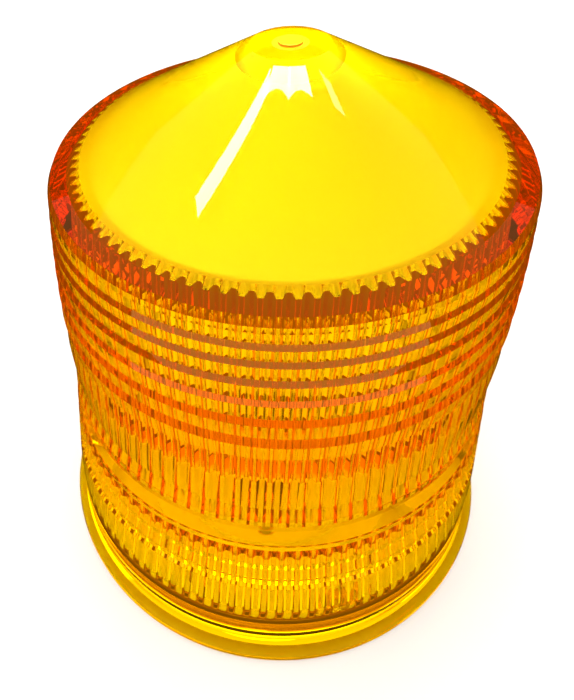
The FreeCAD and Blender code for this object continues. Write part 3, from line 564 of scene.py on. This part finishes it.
FINISH = {
    # Spark-eroded ABS: an even, soft sheen.
    "white_plastic": plastic("white_abs", "dbd9d2", 0.5, 0.6, 0.02),
    # Smoother ABS. The record calls it bright white. It is drawn tan, as a pale one burnt out the roof.
    "white_reflector": plastic("reflector_abs", "c4ae88", 0.3, 0.8, 0.01),
    # Glass-filled nylon: duller, with a dry grain.
    "grey_plastic": plastic("grey_nylon", "6a6c6e", 0.55, 0.5, 0.02),
    # Moulded silicone rubber: almost no shine.
    "seal_rubber": plastic("black_silicone", "1d1d1e", 0.7, 0.9, 0.04),
    # Screen-printed solder mask over glass fibre: glossy, faintly uneven.
    "board_white": plastic("white_solder_mask", "d8dad4", 0.35, 0.5, 0.01),
    # Transfer-moulded epoxy cases: a fine matt black.
    "component_black": plastic("black_epoxy", "262628", 0.55, 0.2, 0.01),
    # Heat-shrunk sleeves: glossy, with slow ripples.
    "capacitor_sleeve": plastic("pvc_sleeve", "20242e", 0.35, 1.5, 0.01),
    "cell_sleeve": plastic("cell_wrap", "3a3f45", 0.3, 2.5, 0.01),
    # Cast resin over the light chips: glossy.
    "led_resin": plastic("led_resin", "f6d777", 0.25, 0.4, 0.01),
    # Extruded PVC insulation: a satin red.
    "lead_insulation": plastic("red_pvc", "b02018", 0.4, 0.7, 0.01),
}
print("plastics:", len(FINISH))

# %% [markdown]
# ## Metals
# Turned, drawn and plated metals differ in colour and in how their tool marks run. One noise, stretched
# along or round the z axis, draws the marks, and a slow second one, 4 mm wide, dulls the metal in patches.
# Real tool marks are nearer 0.05 mm apart, too fine to show here, so they are drawn a few times as wide. A
# metal keeps the shader's own IOR, since its colour alone says how it reflects.

# %% Metals
ALONG_Z = (1.0, 1.0, 0.05)
ROUND_Z = (0.05, 0.05, 1.0)
EVEN = (1.0, 1.0, 1.0)
TARNISH_MM = 4
TARNISH_SHARE = 0.8
# The Mix node's colour sockets share their names with others, so they are reached by number.
MIX_FIRST, MIX_SECOND, MIX_RESULT = 6, 7, 2


def metal(name, tint, roughness, lines_mm, stretch):
    """Bare metal: tool marks, stretched along one axis, move the roughness and the bump."""
    material, tree, output = new_material(name)
    place = add(tree, "ShaderNodeTexCoord")
    drawn = add(tree, "ShaderNodeMapping", {"Scale": stretch}, {"Vector": place.outputs["Object"]})
    marks = add(tree, "ShaderNodeTexNoise", {"Scale": 1 / (lines_mm * MM), "Detail": 3.0},
                {"Vector": drawn.outputs["Vector"]})
    tarnish = add(tree, "ShaderNodeTexNoise", {"Scale": 1 / (TARNISH_MM * MM), "Detail": 3.0},
                  {"Vector": place.outputs["Object"]})
    skin = add(tree, "ShaderNodeBump", {"Strength": 0.25, "Distance": 0.01 * MM},
               {"Height": marks.outputs["Fac"]})
    rough = add(tree, "ShaderNodeMapRange", {"To Min": roughness - 0.1, "To Max": roughness + 0.12},
                {"Value": marks.outputs["Fac"]})
    dull = tuple(TARNISH_SHARE * channel for channel in colour(tint)[:3])
    shade = add(tree, "ShaderNodeMix", {MIX_FIRST: colour(tint), MIX_SECOND: (*dull, 1.0)},
                {"Factor": tarnish.outputs["Fac"]}, data_type="RGBA")
    body = add(tree, "ShaderNodeBsdfPrincipled", {"Metallic": 1.0},
               {"Base Color": shade.outputs[MIX_RESULT], "Roughness": rough.outputs["Result"],
                "Normal": skin.outputs["Normal"]})
    tree.links.new(body.outputs["BSDF"], output.inputs["Surface"])
    return material


FINISH.update({
    # Brass inserts, turned from bar: warm, with rings.
    "brass": metal("turned_brass", "e3c078", 0.3, 0.12, ROUND_Z),
    # Stainless screws and pins, turned and polished: a neutral grey with rings.
    "stainless": metal("turned_stainless", "c9c8c4", 0.3, 0.12, ROUND_Z),
    # Nickel plate on spring steel: smoother and slightly yellow, with no direction.
    "nickel": metal("nickel_plate", "cfc9bd", 0.22, 0.3, EVEN),
    # Enamelled copper wire, wound round the core: the bands are its turns.
    "copper_wire": metal("enamelled_copper", "d08a5a", 0.3, 0.25, ROUND_Z),
    # Clear anodised aluminium, extruded: matt, with lines along its length.
    "anodised": metal("anodised_extrusion", "d6d8da", 0.42, 0.1, ALONG_Z),
})
print("finishes in all:", len(FINISH))

# %% [markdown]
# ## Dress the CAD nodes
# The part's record names a material slot for every node. The lens has its own mesh already, so each of the
# others gets its slot's finish in place of the plain one it came with.

# %% Dress the CAD nodes
for entry in frame["record"]["subparts"]:
    if entry["node"] != "lens":
        piece = NODES[entry["node"]]
        piece.data.materials.clear()
        piece.data.materials.append(FINISH[entry["material_slot"]])
print("finished", len(NODES), "nodes")
